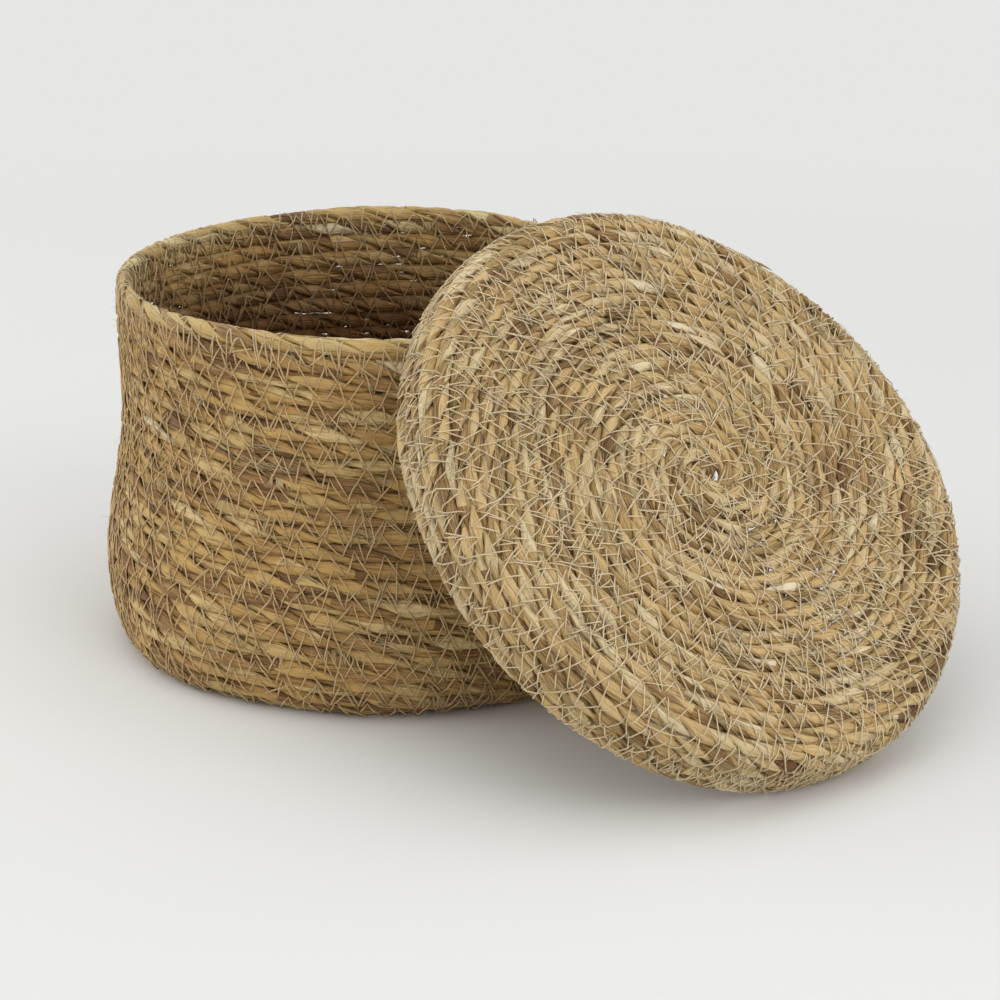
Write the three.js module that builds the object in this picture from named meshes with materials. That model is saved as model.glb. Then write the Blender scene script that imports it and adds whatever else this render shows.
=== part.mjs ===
// A round basket coiled from one long seagrass rope, with a lift-off lid coiled the same way.
// The lid stands on the floor on the edge of its skirt and leans on the basket's rim.
// Millimetres, +Z up. The origin is the middle of the basket's underside, and +X points at the lid.
import * as THREE from "three";

// Ropes, the lid's being thinner, and the sewing thread that holds their turns together
const BASKET_ROPE_DIAMETER = 6.8;
const LID_ROPE_DIAMETER = 5.6;
const TURN_GAP = 0.7;
const THREAD_DIAMETER = 0.9;
const THREAD_CLEARANCE = 0.6;
const ROPE_JOINT_GAP = 0.3;

// Outside of the basket, from the floor up
const HEEL_WIDTH = 14.5;
const BULGE_RADIUS = 130.5;
const BULGE_HEIGHT = 34;
const NECK_RADIUS = 120.3;
const NECK_RISE = 92;
const RIM_RADIUS = 122;
const RIM_RISE = 46.5;
const RIM_END_AZIMUTH = THREE.MathUtils.degToRad(94);

// How far the wall runs on straight from its bulge and from its neck, as shares of the rise between
const BULGE_FULLNESS = 0.24;
const NECK_FULLNESS = 0.6;

// Lid, and how it leans
const LID_CLEARANCE = 4.6;
const LID_DEPTH = 33;
const LID_CORNER_RADIUS = 8;
const SKIRT_END_AZIMUTH = THREE.MathUtils.degToRad(90);
const LEAN_ANGLE = THREE.MathUtils.degToRad(46.1);
const LEAN_SIDESTEP = 11.8;
const LEAN_GAP = 0.4;

// The start of a coil: a straight tail through the middle, tucked round into the first turn
const CORE_START = 1.375;
const TUCK_ANGLE = THREE.MathUtils.degToRad(45);
const TUCK_STEPS = 3;

// The end of a coil thins out over part of a turn
const TAPER_TURNS = 0.25;
const TAPER_SHARE = 0.45;

// Facets
const ROPE_SIDES = 5;
const THREAD_SIDES = 3;
const STEPS = 16;
const CORE_STEPS = 8;
const CORE_TURNS = 4;
const PROFILE_DIVISIONS = 400;

// A tube's gap to itself counts between points that lie this many diameters apart along it
const GAP_REACH = 4;

// Lean search
const LEAN_TURNS = 3;
const LEAN_SAMPLE = 2;
const LEAN_TRIES = 24;

// Colours and finish
const BASKET_COLOUR = 0x9a7444;
const LID_COLOUR = 0xab8a58;
const THREAD_COLOUR = 0xb89b6c;
const SEAGRASS_ROUGHNESS = 0.85;
const THREAD_ROUGHNESS = 0.75;

const TURN = 2 * Math.PI;
const THREAD_RADIUS = THREAD_DIAMETER / 2;

// A faceted turn lies half inside and half outside the round one that it stands for.
const FACET_SPREAD = 2 / (1 + Math.cos(Math.PI / STEPS));

// A rope's section has one flat side, on the outside of the basket or lid, and the rest follows from it.
// The thread lies in the groove between two turns, clear of the sloping side of each.
function ropeOf(diameter) {
  const halfSide = Math.PI / ROPE_SIDES;
  const radius = diameter / 2;
  const pitch = diameter + TURN_GAP;
  const seat = radius * Math.cos(halfSide);
  const threadSeat =
    (THREAD_RADIUS + THREAD_CLEARANCE + seat - (pitch / 2) * Math.sin(2 * halfSide)) /
    Math.cos(2 * halfSide);
  const halfWidth = radius * Math.sin(2 * halfSide);
  return { diameter, radius, pitch, seat, halfWidth, threadSeat, thickness: radius + seat };
}

const basketRope = ropeOf(BASKET_ROPE_DIAMETER);
const lidRope = ropeOf(LID_ROPE_DIAMETER);

const LID_RADIUS = RIM_RADIUS + LID_CLEARANCE + lidRope.thickness;

// The middle line of the rope in a half section of the basket: x is the distance from the axis.
function basketProfile() {
  const { seat, halfWidth } = basketRope;
  const foot = BULGE_RADIUS - HEEL_WIDTH;
  const bulge = BULGE_RADIUS - seat;
  const neck = NECK_RADIUS - seat;
  const rim = RIM_RADIUS - seat;
  const neckHeight = BULGE_HEIGHT + NECK_RISE;
  const top = neckHeight + RIM_RISE - halfWidth;
  const aboveBulge = BULGE_HEIGHT + BULGE_FULLNESS * NECK_RISE;
  const belowNeck = neckHeight - NECK_FULLNESS * NECK_RISE;
  const heelWidth = bulge - foot;
  const heelHeight = BULGE_HEIGHT - seat;
  const path = new THREE.Path();
  path.moveTo(0, seat);
  path.lineTo(foot, seat);
  path.absellipse(foot, BULGE_HEIGHT, heelWidth, heelHeight, -Math.PI / 2, 0, false);
  path.bezierCurveTo(bulge, aboveBulge, neck, belowNeck, neck, neckHeight);
  path.quadraticCurveTo(neck, (neckHeight + top) / 2, rim, top);
  return path;
}

// The same line for the lid, which is a shallow basket turned over.
function lidProfile() {
  const { seat, halfWidth } = lidRope;
  const wall = LID_RADIUS - seat;
  const flat = wall - LID_CORNER_RADIUS;
  const path = new THREE.Path();
  path.moveTo(0, seat);
  path.lineTo(flat, seat);
  path.absarc(flat, seat + LID_CORNER_RADIUS, LID_CORNER_RADIUS, -Math.PI / 2, 0, false);
  path.lineTo(wall, LID_DEPTH - halfWidth);
  return path;
}

// One section: corners round a centre, with the flat side facing outward, pressed flat on the ground.
function section(centre, outward, across, radius, sides) {
  const corners = [];
  for (let k = 0; k < sides; k++) {
    const angle = -((k + 0.5) * TURN) / sides;
    const corner = centre
      .clone()
      .addScaledVector(outward, radius * Math.cos(angle))
      .addScaledVector(across, radius * Math.sin(angle));
    corner.z = Math.max(corner.z, 0);
    corners.push(corner);
  }
  return { centre, corners };
}

// A point part of the way from one section to the next, which lies on the tube between them.
function between(a, b, share) {
  return {
    centre: a.centre.clone().lerp(b.centre, share),
    corners: a.corners.map((corner, k) => corner.clone().lerp(b.corners[k], share)),
  };
}

// The end of a tube in the middle of a facet, short of the next tube by half the gap between them.
function cut(a, b) {
  const share = 0.5 - ROPE_JOINT_GAP / 2 / a.centre.distanceTo(b.centre);
  return between(a, b, share);
}

// A coil round +Z, clockwise from above, that climbs its profile by one pitch in each turn.
class Coil {
  constructor(rope, profile, endAzimuth) {
    profile.curves.forEach((curve) => {
      curve.arcLengthDivisions = PROFILE_DIVISIONS;
    });
    this.rope = rope;
    this.profile = profile;
    this.length = profile.getLength();
    this.flatTurns = this.facetMiddle(profile.curves[0].getLength() / rope.pitch);
    this.endTurns = this.facetMiddle(this.length / rope.pitch);
    this.azimuth = endAzimuth + TURN * this.endTurns;
  }

  // The middle of the last whole facet, so that a cut there is square.
  facetMiddle(turns) {
    return (Math.floor(turns * STEPS) - 0.5) / STEPS;
  }

  // Where the coil is after some turns, moved along its profile and out from it.
  frame(turns, alongProfile, outwards) {
    const share = Math.min((this.rope.pitch * turns + alongProfile) / this.length, 1);
    const point = this.profile.getPointAt(share);
    const along = this.profile.getTangentAt(share);
    const axis = new THREE.Vector3(0, 0, 1);
    const angle = this.azimuth - TURN * turns;
    const centre = new THREE.Vector3(FACET_SPREAD * point.x, 0, point.y);
    const outward = new THREE.Vector3(along.y, 0, -along.x).applyAxisAngle(axis, angle);
    const across = new THREE.Vector3(along.x, 0, along.y).applyAxisAngle(axis, angle);
    centre.applyAxisAngle(axis, angle).addScaledVector(outward, outwards);
    return { centre, outward, across };
  }

  ropeSection(turns) {
    const left = Math.max(0, this.endTurns - turns);
    const share = Math.min(1, TAPER_SHARE + (1 - TAPER_SHARE) * (left / TAPER_TURNS));
    const { centre, outward, across } = this.frame(turns, 0, 0);
    centre.addScaledVector(across, (share - 1) * this.rope.halfWidth);
    return section(centre, outward, across, share * this.rope.radius, ROPE_SIDES);
  }

  threadSection(turns) {
    const { pitch, threadSeat } = this.rope;
    const { centre, outward, across } = this.frame(turns, pitch / 2, threadSeat);
    return section(centre, outward, across, THREAD_RADIUS, THREAD_SIDES);
  }

  // Sections from one turn to another, cut square in the middle of the facet at each end.
  stretch(from, to, sectionAt) {
    const step = 1 / STEPS;
    const first = Math.floor(from * STEPS) * step;
    const last = Math.ceil(to * STEPS) * step;
    const sections = [cut(sectionAt(first + step), sectionAt(first))];
    for (let k = Math.ceil(from * STEPS); k <= Math.floor(to * STEPS); k++) {
      if (k >= CORE_TURNS * STEPS || k % (STEPS / CORE_STEPS) === 0) {
        sections.push(sectionAt(k * step));
      }
    }
    sections.push(cut(sectionAt(last - step), sectionAt(last)));
    return sections;
  }

  // The tail through the middle and the tuck that leads it into the first turn.
  tail() {
    const { centre, outward, across } = this.frame(CORE_START, 0, 0);
    const reach = Math.hypot(centre.x, centre.y);
    const bend = (reach * Math.sin(TUCK_ANGLE)) / (1 + Math.sin(TUCK_ANGLE));
    const middle = centre.clone().addScaledVector(across, -bend);
    const sections = [];
    const swing = Math.PI / 2 + TUCK_ANGLE;
    for (let k = 0; k < TUCK_STEPS; k++) {
      const side = across.clone().applyAxisAngle(outward, swing * (k / TUCK_STEPS - 1));
      const place = middle.clone().addScaledVector(side, bend);
      sections.push(section(place, outward, side, this.rope.radius, ROPE_SIDES));
    }
    const straight = sections[0];
    const axisPoint = new THREE.Vector3(0, 0, straight.centre.z);
    const heading = straight.centre.clone().sub(axisPoint).normalize();
    const back = heading.multiplyScalar(-this.rope.diameter - straight.centre.distanceTo(axisPoint));
    sections.unshift({
      centre: straight.centre.clone().add(back),
      corners: straight.corners.map((corner) => corner.clone().add(back)),
    });
    return sections;
  }

  flatRope() {
    const turns = this.stretch(CORE_START, this.flatTurns, (t) => this.ropeSection(t));
    return [...this.tail(), ...turns.slice(1)];
  }

  wallRope() {
    return this.stretch(this.flatTurns, this.endTurns, (t) => this.ropeSection(t));
  }

  flatThread() {
    const from = CORE_START + 0.5 / STEPS;
    return this.stretch(from, this.flatTurns - 1, (t) => this.threadSection(t));
  }

  wallThread() {
    const to = this.facetMiddle(this.endTurns - 1 - TAPER_TURNS);
    return this.stretch(this.flatTurns - 1, to, (t) => this.threadSection(t));
  }
}

// Joins sections into one closed tube with flat ends.
function tube(sections) {
  const sides = sections[0].corners.length;
  const positions = sections.flatMap((s) => s.corners.flatMap((corner) => corner.toArray()));
  const faces = [];
  for (let i = 0; i + 1 < sections.length; i++) {
    for (let k = 0; k < sides; k++) {
      const a = i * sides + k;
      const b = i * sides + ((k + 1) % sides);
      faces.push(a, a + sides, b, b, a + sides, b + sides);
    }
  }
  const end = (sections.length - 1) * sides;
  for (let k = 1; k + 1 < sides; k++) {
    faces.push(0, k, k + 1, end, end + k + 1, end + k);
  }
  const geometry = new THREE.BufferGeometry();
  geometry.setAttribute("position", new THREE.Float32BufferAttribute(positions, 3));
  geometry.setIndex(faces);
  geometry.computeVertexNormals();
  return geometry;
}

// The least distance between a tube's surface points, on one turn and the next.
function leastGap(sections, diameter) {
  const apart = GAP_REACH * diameter;
  const points = [];
  let travelled = 0;
  sections.forEach((here, i) => {
    if (i > 0) {
      const before = sections[i - 1];
      const stride = here.centre.distanceTo(before.centre);
      const halfway = between(before, here, 0.5);
      halfway.corners.forEach((corner) => points.push({ corner, at: travelled + stride / 2 }));
      travelled += stride;
    }
    here.corners.forEach((corner) => points.push({ corner, at: travelled }));
  });
  let least = Infinity;
  points.forEach((a, i) => {
    for (let j = i + 1; j < points.length; j++) {
      if (points[j].at - a.at > apart) {
        least = Math.min(least, a.corner.distanceToSquared(points[j].corner));
      }
    }
  });
  return Math.sqrt(least);
}

function seagrass(colour) {
  return new THREE.MeshStandardMaterial({
    color: colour,
    roughness: SEAGRASS_ROUGHNESS,
    metalness: 0,
  });
}

function sewingThread() {
  return new THREE.MeshStandardMaterial({
    color: THREAD_COLOUR,
    roughness: THREAD_ROUGHNESS,
    metalness: 0,
  });
}

function addCoil(group, name, sections, rope, material) {
  const mesh = new THREE.Mesh(tube(sections), material);
  mesh.name = name;
  group.add(mesh);
  console.log(`${name}: least gap to itself ${leastGap(sections, rope.diameter).toFixed(2)} mm`);
}

// Points along the middle lines of some sections, close enough to measure a gap on.
function samples(sections) {
  const points = [];
  for (let i = 0; i + 1 < sections.length; i++) {
    const from = sections[i].centre;
    const to = sections[i + 1].centre;
    const count = Math.ceil(from.distanceTo(to) / LEAN_SAMPLE);
    for (let k = 0; k < count; k++) {
      points.push(from.clone().lerp(to, k / count));
    }
  }
  return points;
}

// Moves the lid along +X until it only just clears the top turns of the basket.
function leanOnRim(lid, lidSections, wallSections) {
  const rim = wallSections.slice(-LEAN_TURNS * STEPS);
  const lines = rim.slice(1).map((s, i) => new THREE.Line3(rim[i].centre, s.centre));
  const turned = samples(lidSections).map((p) => p.applyEuler(lid.rotation));
  const apart = basketRope.radius + lidRope.radius + LEAN_GAP;
  const near = new THREE.Vector3();
  const point = new THREE.Vector3();
  const clears = (x) =>
    turned.every((p) => {
      point.set(p.x + x, p.y + lid.position.y, p.z + lid.position.z);
      return lines.every(
        (line) => line.closestPointToPoint(point, true, near).distanceTo(point) > apart,
      );
    });
  let close = RIM_RADIUS;
  let far = RIM_RADIUS + LID_RADIUS;
  for (let k = 0; k < LEAN_TRIES; k++) {
    const half = (close + far) / 2;
    if (clears(half)) {
      far = half;
    } else {
      close = half;
    }
  }
  lid.position.x = far;
}

const basketCoil = new Coil(basketRope, basketProfile(), RIM_END_AZIMUTH);
const lidCoil = new Coil(lidRope, lidProfile(), SKIRT_END_AZIMUTH);

const basket = new THREE.Group();
addCoil(basket, "base_coil", basketCoil.flatRope(), basketRope, seagrass(BASKET_COLOUR));
addCoil(basket, "wall_coil", basketCoil.wallRope(), basketRope, seagrass(BASKET_COLOUR));
addCoil(basket, "base_stitching", basketCoil.flatThread(), basketRope, sewingThread());
addCoil(basket, "wall_stitching", basketCoil.wallThread(), basketRope, sewingThread());

const lid = new THREE.Group();
addCoil(lid, "lid_top_coil", lidCoil.flatRope(), lidRope, seagrass(LID_COLOUR));
addCoil(lid, "lid_skirt_coil", lidCoil.wallRope(), lidRope, seagrass(LID_COLOUR));
addCoil(lid, "lid_top_stitching", lidCoil.flatThread(), lidRope, sewingThread());
addCoil(lid, "lid_skirt_stitching", lidCoil.wallThread(), lidRope, sewingThread());

// The lid's top faces +X and up, and its lowest point is on the floor.
lid.rotation.y = Math.PI + LEAN_ANGLE;
lid.position.y = LEAN_SIDESTEP;
lid.position.z = -new THREE.Box3().setFromObject(lid, true).min.z;
leanOnRim(lid, [...lidCoil.flatRope(), ...lidCoil.wallRope()], basketCoil.wallRope());

const part = new THREE.Group();
part.add(basket, lid);

export default part;
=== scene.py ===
"""A round basket and its lid, coiled from two-ply seagrass rope and sewn with a zigzag of thin thread.

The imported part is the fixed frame: every rope and thread made here follows the coil of the solid that it
replaces. Metres, +Z up, with the origin under the middle of the basket and the lid leaning towards +X.
"""

import math
from dataclasses import dataclass
from functools import partial

import bmesh
import bpy
import numpy as np
from bpy.props import FloatProperty, PointerProperty, StringProperty
from mathutils import Matrix, Vector


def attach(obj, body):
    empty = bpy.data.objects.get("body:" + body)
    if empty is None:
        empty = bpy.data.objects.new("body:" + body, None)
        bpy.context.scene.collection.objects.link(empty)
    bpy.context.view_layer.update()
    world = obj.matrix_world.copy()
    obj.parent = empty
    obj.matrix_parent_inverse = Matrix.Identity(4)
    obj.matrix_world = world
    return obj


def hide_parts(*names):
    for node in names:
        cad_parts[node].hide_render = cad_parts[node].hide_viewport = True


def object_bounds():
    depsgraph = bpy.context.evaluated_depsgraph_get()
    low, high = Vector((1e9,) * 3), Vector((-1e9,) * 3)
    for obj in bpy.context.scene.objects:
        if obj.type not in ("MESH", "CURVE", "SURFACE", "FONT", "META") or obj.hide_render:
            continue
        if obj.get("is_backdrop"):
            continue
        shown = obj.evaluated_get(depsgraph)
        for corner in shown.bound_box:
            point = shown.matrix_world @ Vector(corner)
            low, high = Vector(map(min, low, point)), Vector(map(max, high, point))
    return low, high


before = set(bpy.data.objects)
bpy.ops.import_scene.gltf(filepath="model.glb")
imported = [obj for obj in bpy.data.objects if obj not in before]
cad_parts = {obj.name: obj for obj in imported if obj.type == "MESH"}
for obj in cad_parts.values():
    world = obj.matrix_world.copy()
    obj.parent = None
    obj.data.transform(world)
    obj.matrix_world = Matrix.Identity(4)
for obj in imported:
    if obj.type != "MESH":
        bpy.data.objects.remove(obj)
CAD_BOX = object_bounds()

bl_info = {
    "name": "Coiled seagrass basket",
    "version": (1, 0, 0),
    "blender": (4, 5, 0),
    "location": "View3D > Sidebar > Basket",
    "description": "Coils, sews and frays a seagrass basket and its lid around the packed part",
    "category": "Object",
}

MM = 0.001
TAU = 2 * math.pi

# Outside of the basket, as the solids have it
HEEL_WIDTH = 14.5 * MM
BULGE_RADIUS = 130.5 * MM
BULGE_HEIGHT = 34 * MM
NECK_RADIUS = 120.3 * MM
NECK_RISE = 92 * MM
RIM_RADIUS = 122 * MM
RIM_RISE = 46.5 * MM
RIM_END_AZIMUTH = math.radians(94)
BULGE_FULLNESS = 0.24
NECK_FULLNESS = 0.6

# Lid, and where it leans
LID_RADIUS = 131.665 * MM
LID_DEPTH = 33 * MM
LID_CORNER_RADIUS = 8 * MM
SKIRT_END_AZIMUTH = math.radians(90)
LEAN_ANGLE = math.radians(46.1)
LID_PLACE = Vector((190.0, 11.8, 114.69)) * MM

# The solids' rope in shares of its diameter: from its middle line to its outer face, and half its width
TURN_GAP = 0.7 * MM
SEAT_SHARE = 0.4045
HALF_WIDTH_SHARE = 0.4755

# Both ends of a coil: the first turn starts tucked under, and the last part of a turn sinks and thins out
FIRST_TURN = 0.25
TUCK_TURNS = 0.45
TUCK_DEPTH = 7 * MM
TAPER_TURNS = 0.06
TAPER_SHARE = 0.45
SINK_TURNS = 0.45
SINK_DEPTH = 3.2 * MM
END_STEPS_PER_TURN = 16

# A ply in shares of the pitch
PLY_OFFSET = 0.235
PLY_THICKNESS = 0.55

# How far the handwork sways along the work and swells out of it, growing over the first turns
SWAY = 1.2 * MM
SWELL = 1.3 * MM
CALM_TURNS = 3

# By how much an uneven rope may stand out, kept clear of the floor
ROPE_SLACK = 1.0 * MM

# Smoothness of the worked-out lines
PROFILE_STEPS = 160
TURN_STEPS = 720

LengthProperty = partial(FloatProperty, unit="LENGTH", precision=5)
ShareProperty = partial(FloatProperty, subtype="FACTOR", min=0.4, max=1.2)


class RopeSettings(bpy.types.PropertyGroup):
    """Sizes of the rope and of the thread that holds its turns together."""

    basket_rope: LengthProperty(
        name="Basket rope", description="Diameter of the basket's rope", default=6.8 * MM)
    basket_lay: LengthProperty(
        name="Basket lay", description="Length of the basket's rope in which a ply goes once round it",
        default=42 * MM)
    basket_press: ShareProperty(
        name="Basket press", description="Thickness of the pressed rope as a share of its height",
        default=0.78)
    basket_fill: ShareProperty(
        name="Basket fill", description="Width of a ply as a share of the step from turn to turn",
        default=0.94)
    basket_thread: LengthProperty(
        name="Basket thread", description="Diameter of the basket's sewing thread", default=0.75 * MM)
    basket_stitch: LengthProperty(
        name="Basket stitch", description="From one peak of the basket's zigzag to the next",
        default=12 * MM)
    lid_rope: LengthProperty(
        name="Lid rope", description="Diameter of the lid's thinner rope", default=5.6 * MM)
    lid_lay: LengthProperty(
        name="Lid lay", description="Length of the lid's rope in which a ply goes once round it",
        default=26 * MM)
    lid_press: ShareProperty(
        name="Lid press", description="Thickness of the lid's pressed rope as a share of its height",
        default=1.0)
    lid_fill: ShareProperty(
        name="Lid fill", description="Width of a ply of the lid as a share of the step from turn to turn",
        default=0.9)
    lid_thread: LengthProperty(
        name="Lid thread", description="Diameter of the lid's thinner sewing thread", default=0.62 * MM)
    lid_stitch: LengthProperty(
        name="Lid stitch", description="From one peak of the lid's zigzag to the next", default=10.5 * MM)
    reach: FloatProperty(
        name="Reach", description="Height of the zigzag, as a number of turns of rope", default=1.65)


class FinishSettings(bpy.types.PropertyGroup):
    """Colours of the leaf and the thread, as sRGB hex values."""

    basket_leaf: StringProperty(
        name="Basket leaf", description="Leaves of the basket, from umber to straw",
        default="6E4E31 9B7547 BB9458 C9A25F C5A86D DEC38D")
    lid_leaf: StringProperty(
        name="Lid leaf", description="Leaves of the paler lid, from umber to straw",
        default="6A4A2E A08150 C1A26C D0B27B CAB284 E4D3AC")
    torn_leaf: StringProperty(
        name="Torn leaf", description="Tips of leaf that stand off the rope",
        default="9A7A50 B2935F C4A878 D6C299")
    bleached_leaf: StringProperty(
        name="Bleached leaf", description="The few leaves that dried to cream", default="E6DABC")
    basket_thread: StringProperty(
        name="Basket thread", description="Tan sewing thread of the basket", default="CDB081")
    lid_thread: StringProperty(
        name="Lid thread", description="Paler sewing thread of the lid", default="DBC8A4")
    # Painted shade: the inside tint darkens what faces the basket's axis, for the shade that falls inside
    # the basket
    inside: StringProperty(
        name="Inside", description="Tint of what light hasn't bleached, inside the basket",
        default="8C705A")
    # Painted shade: the thread inside the basket is tinted darker, for the shade that falls there
    inside_thread_shade: StringProperty(
        name="Inside thread", description="Tint of the thread inside the basket, which is dark with dust",
        default="7E6A54")
    fibre: StringProperty(
        name="Fibre", description="Loose ends of fibre", default="CDBB94")


class StageSettings(bpy.types.PropertyGroup):
    """The plain studio."""

    floor: StringProperty(
        name="Floor", description="Pale floor, as an sRGB hex value", default="E6E6E4")
    sky: FloatProperty(
        name="Sky", description="Strength of the soft light from all round", default=0.53)
    lamp: FloatProperty(
        name="Lamp", description="Power of the soft lights", default=23.0, unit="POWER")
    lens: FloatProperty(
        name="Lens", description="Focal length on a 36 mm sensor", default=108.0, unit="CAMERA")


def linear(code):
    """An sRGB hex value as linear red, green, blue and a full alpha."""
    channels = [int(code[i:i + 2], 16) / 255 for i in (0, 2, 4)]
    curve = [c / 12.92 if c <= 0.04045 else ((c + 0.055) / 1.055) ** 2.4 for c in channels]
    return (*curve, 1.0)


def add_node(tree, kind, inputs=None, operation=None, stops=(), **settings):
    """Adds a node with its settings, its values or links by socket, and its colour stops.

    A whole node among the inputs is linked by the first of its outputs that is in use.
    """
    node = tree.nodes.new("ShaderNode" + kind)
    if operation:
        node.operation = operation
    for name, value in settings.items():
        setattr(node, name, value)
    for socket, value in (inputs or {}).items():
        if isinstance(value, bpy.types.Node):
            value = next(output for output in value.outputs if output.enabled)
        if isinstance(value, bpy.types.NodeSocket):
            tree.links.new(value, node.inputs[socket])
        else:
            node.inputs[socket].default_value = value
    for index, (place, colour) in enumerate(stops):
        if index < 2:
            stop = node.color_ramp.elements[index]
            stop.position = place
        else:
            stop = node.color_ramp.elements.new(place)
        stop.color = colour
    return node


def new_material(name):
    """A material without nodes, and the function that adds one to it."""
    material = bpy.data.materials.new(name)
    material.use_nodes = True
    material.node_tree.nodes.clear()
    return material, partial(add_node, material.node_tree)


# Painted light and shade on the basket: painted shade on its inside, lifting from a height up to the rim,
# and a painted highlight along the rim itself, whose colour is lifted by a share for red, green and blue
SHADE_HEIGHT = 110 * MM
RIM_LIGHT_HEIGHT = 156 * MM
RIM_HEIGHT = 170 * MM
RIM_PAINTED_LIGHT = (1.0, 1.14, 1.36, 1)


def painted_shade_and_rim_light(add, colour, coordinates, inside):
    """A colour that takes the inside tint, painted shade, on what faces the basket's axis, and a painted
    highlight at the rim.

    The lid has no inside tint, and its colour stays.
    """
    if not inside:
        return colour
    place = coordinates.outputs["Object"]
    sideways = add("VectorMath", {0: place, 1: (1, 1, 0)}, "MULTIPLY")
    away = add("VectorMath", {0: sideways}, "NORMALIZE")
    normal = add("NewGeometry").outputs["Normal"]
    facing = add("VectorMath", {0: normal, 1: away}, "DOT_PRODUCT")
    height = add("SeparateXYZ", {0: place}).outputs["Z"]
    near_rim = add("MapRange", {"Value": height, "From Min": SHADE_HEIGHT, "From Max": RIM_HEIGHT})
    # painted shade: faces turned towards the basket's axis take the inside tint, less of it near the rim
    lit = add("MapRange", {"Value": facing, "From Min": -0.5, "From Max": 0.1, "To Min": near_rim})
    on_rim = add("MapRange", {"Value": height, "From Min": RIM_LIGHT_HEIGHT, "From Max": RIM_HEIGHT})
    # painted highlight: the colour along the rim is lifted, for the light that falls on its top
    painted_rim_light = add("Mix", {"Factor": on_rim, "A": (1, 1, 1, 1), "B": RIM_PAINTED_LIGHT}, data_type="RGBA")
    painted_light_and_shade = add("Mix", {"Factor": lit, "A": linear(inside), "B": painted_rim_light}, data_type="RGBA")
    return add("VectorMath", {0: colour, 1: painted_light_and_shade}, "MULTIPLY")


# Dried leaf, split into strips and twisted. The eye sees strips of unlike brown side by side, fine streaks
# along them, a few bleached to cream, and a faint waxy shine.
LEAF_LENGTH = 60 * MM
LEAF_STAGGER = 0.37
STRIPS_PER_PLY = 3.0
STREAK_LENGTH = 12 * MM
STREAKS_PER_PLY = 26
STRIP_WANDER_LENGTH = 40 * MM
CRINKLE_LENGTH = 3 * MM
CRINKLES_PER_PLY = 7
PATCH_SIZE = 55 * MM
LEAF_RELIEF = 1.2 * MM
FUZZ = 0.18

# What a leaf's tone is made of: the leaf itself, its streaks and the patch of the work that it lies in
TONE_START = -0.3
LEAF_TONE = 0.7
STREAK_TONE = 0.5
PATCH_TONE = 0.4
BLEACHED_FROM = 0.93

# How dark the painted shade in the split between two strips is, how wide in shares of a strip, and how dark
# a crack along one is
SPLIT_SHADE = 0.45
SPLIT_WIDTH = 0.07
CRACK_SHADE = 0.72


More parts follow.
